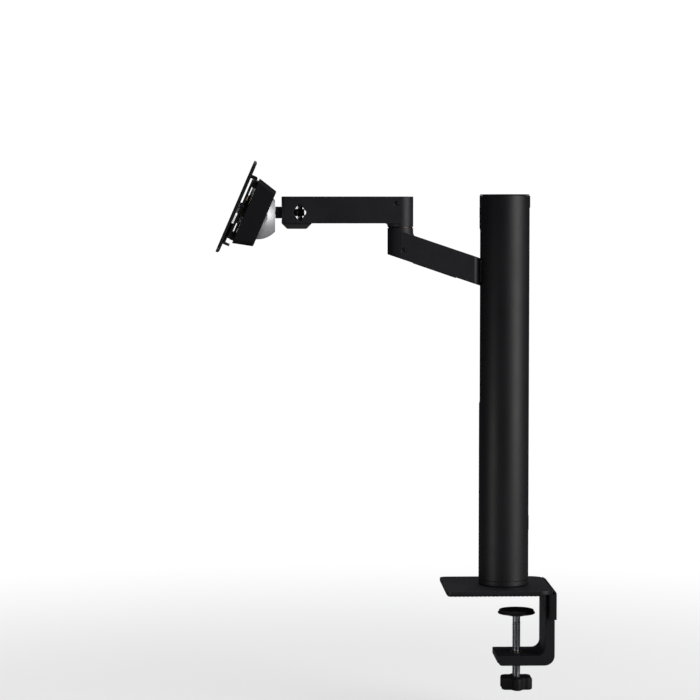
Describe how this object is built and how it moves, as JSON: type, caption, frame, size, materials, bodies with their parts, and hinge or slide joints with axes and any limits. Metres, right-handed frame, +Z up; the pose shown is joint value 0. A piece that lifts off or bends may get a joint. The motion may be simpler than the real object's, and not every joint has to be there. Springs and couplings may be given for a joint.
{
  "type": "monitor arm",
  "caption": "Desk-clamped pole with a spring-balanced folding arm, a ball tilt head and a quick-release display plate.",
  "frame": {"origin": "where the pole's axis meets the plane of the desk top, which is the underside of the base pad", "axes": "+Z up along the pole, -Y out along the arm towards the display plate, +X across the desk edge"},
  "size_m": [0.122, 0.4041, 0.6367],
  "materials": {
    "powder_coat": "satin",
    "black_steel": "satin",
    "black_plastic": "matte",
    "grey_plastic": "matte",
    "silver_paint": "satin",
    "bare_steel": "satin",
    "spring_steel": "polished",
    "cast_alloy": "matte",
    "brass": "satin",
    "nylon": "matte",
    "rubber": "matte"
  },
  "bodies": {
    "stand": {"base_pad": "rubber", "base_plate": "powder_coat", "clamp_bracket": "powder_coat", "clamp_nut": "brass", "bracket_bolt_left": "bare_steel", "bracket_bolt_right": "bare_steel", "spigot": "bare_steel", "spigot_bolt": "bare_steel"},
    "clamp_foot": {"clamp_pad": "black_steel", "clamp_pad_rubber": "rubber"},
    "clamp_spindle": {"clamp_screw": "bare_steel", "clamp_knob": "black_plastic"},
    "pole": {"pole_tube": "powder_coat", "pole_foot": "powder_coat", "pole_cap": "black_plastic", "cap_tab": "black_plastic", "slot_plug": "black_plastic", "port_cover": "black_plastic", "swivel_bush_lower": "nylon", "swivel_bush_upper": "nylon", "rail_holder_top": "nylon", "rail_holder_bottom": "nylon", "guide_rod_left": "bare_steel", "guide_rod_right": "bare_steel", "drum_bracket": "bare_steel"},
    "drum": {"spring_drum": "nylon", "spring_coil": "spring_steel"},
    "carriage": {"spring_strip": "spring_steel", "carriage": "cast_alloy", "carriage_glide_left": "nylon", "carriage_glide_right": "nylon", "arm_bolt": "bare_steel", "lower_arm": "powder_coat", "lower_arm_cover": "black_plastic", "lower_set_screw": "bare_steel", "elbow_pin": "bare_steel", "elbow_washer": "brass", "elbow_nut": "bare_steel"},
    "forearm": {"elbow_bush": "nylon", "elbow_cap": "black_plastic", "upper_arm": "powder_coat", "upper_arm_cover": "black_plastic", "upper_set_screw": "bare_steel", "pan_pin": "bare_steel", "pan_cover": "grey_plastic"},
    "neck": {"neck": "powder_coat", "ball_housing": "silver_paint", "neck_bolt": "bare_steel"},
    "tilt_frame": {"tilt_yoke": "black_steel", "tilt_shaft": "bare_steel", "tilt_disc_left": "brass", "tilt_disc_right": "brass", "pivot_pin": "bare_steel", "pivot_washer": "brass"},
    "head": {"head_cover": "black_plastic", "pivot_plate": "black_steel", "pivot_nut": "bare_steel", "display_plate": "black_steel", "latch_spring": "spring_steel"},
    "latch": {"release_latch": "bare_steel"}
  },
  "joints": [
    {"name": "pole_swivel", "type": "hinge", "parent": "stand", "child": "pole", "pos_m": [0, 0, 0], "axis": [0, 0, 1], "range_deg": [-90, 90]},
    {"name": "height_slide", "type": "slide", "parent": "pole", "child": "carriage", "axis": [0, 0, 1], "range_m": [-0.1, 0.03], "deforming": ["spring_strip"]},
    {"name": "drum_turn", "type": "hinge", "parent": "pole", "child": "drum", "pos_m": [0, 0.014, 0.428], "axis": [1, 0, 0], "continuous": true},
    {"name": "elbow", "type": "hinge", "parent": "carriage", "child": "forearm", "pos_m": [0, -0.125, 0.436], "axis": [0, 0, 1], "range_deg": [-120, 120]},
    {"name": "head_pan", "type": "hinge", "parent": "forearm", "child": "neck", "pos_m": [0, -0.245, 0.454], "axis": [0, 0, 1], "range_deg": [-22, 22]},
    {"name": "tilt", "type": "hinge", "parent": "neck", "child": "tilt_frame", "pos_m": [0, -0.2956, 0.45], "axis": [1, 0, 0], "range_deg": [-1.6, 48.4]},
    {"name": "pivot", "type": "hinge", "parent": "tilt_frame", "child": "head", "pos_m": [0, -0.2956, 0.45], "axis": [0, -0.9178, 0.3971], "range_deg": [-90, 90]},
    {"name": "latch_push", "type": "slide", "parent": "head", "child": "latch", "axis": [0, 0.3971, 0.9178], "range_m": [0, 0.0035], "stiffness_N_per_m": 600, "springref_m": -0.003, "deforming": ["latch_spring"]},
    {"name": "clamp_travel", "type": "slide", "parent": "stand", "child": "clamp_foot", "axis": [0, 0, 1], "range_m": [-0.035, 0.015]},
    {"name": "clamp_turn", "type": "hinge", "parent": "clamp_foot", "child": "clamp_spindle", "pos_m": [0, 0.016, -0.07], "axis": [0, 0, 1], "range_deg": [-6301, 2701]}
  ],
  "couplings": [
    {"joint": "drum_turn", "follows": "height_slide", "rad_per_m": -98.04},
    {"joint": "clamp_turn", "follows": "clamp_travel", "rad_per_m": 3141.6}
  ]
}
